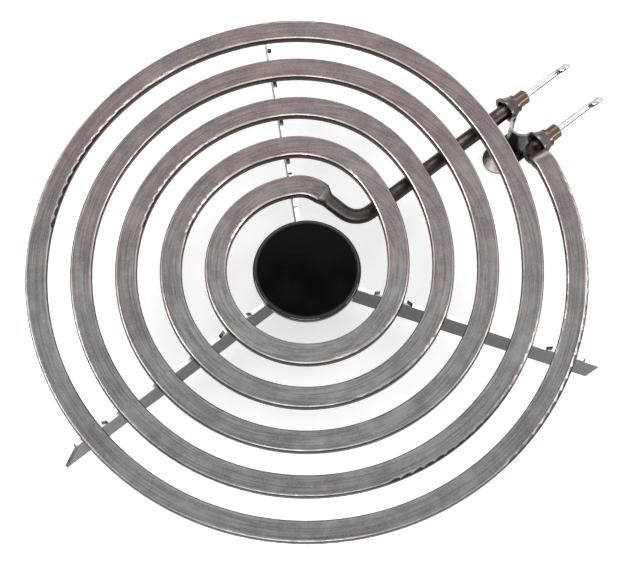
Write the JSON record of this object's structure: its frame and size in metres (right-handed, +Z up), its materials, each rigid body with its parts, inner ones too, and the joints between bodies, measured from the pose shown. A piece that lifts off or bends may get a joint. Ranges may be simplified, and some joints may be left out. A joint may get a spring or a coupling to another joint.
{
  "type": "coil surface heating element",
  "caption": "Plug-in tubular range element: flat-topped heating tube in a spiral on a three-armed blade frame, with an enamelled centre medallion and a terminal bracket with two looped pins.",
  "frame": {"origin": "centre of the hub, on the plane of the blades' bottom edges", "axes": "+Z up through the medallion, +X the way the two terminal pins point"},
  "size_m": [0.2304, 0.1936, 0.0232],
  "materials": {
    "sheath": "oxidised nickel-alloy sheath, heat tinted",
    "magnesia": "packed white powder",
    "resistance_alloy": "drawn wire",
    "pin_nickel": "bright nickel plate",
    "seal": "silicone",
    "bushing": "unglazed steatite",
    "bracket_plate": "plated and heat tinted",
    "blade_steel": "plated strip",
    "hub_steel": "plated",
    "enamel": "glossy black porcelain enamel",
    "rivet_steel": "plated"
  },
  "bodies": {
    "root": {"heating_tube_sheath": "sheath", "magnesia_fill": "magnesia", "resistance_wire": "resistance_alloy", "terminal_pin_inner": "pin_nickel", "terminal_pin_outer": "pin_nickel", "end_seal_inner": "seal", "end_seal_outer": "seal", "terminal_bushing_inner": "bushing", "terminal_bushing_outer": "bushing", "terminal_bracket": "bracket_plate", "support_blade_rear": "blade_steel", "support_blade_left": "blade_steel", "support_blade_right": "blade_steel", "hub_post": "hub_steel", "hub_plate": "hub_steel", "medallion": "enamel", "medallion_rivet": "rivet_steel"}
  },
  "joints": []
}
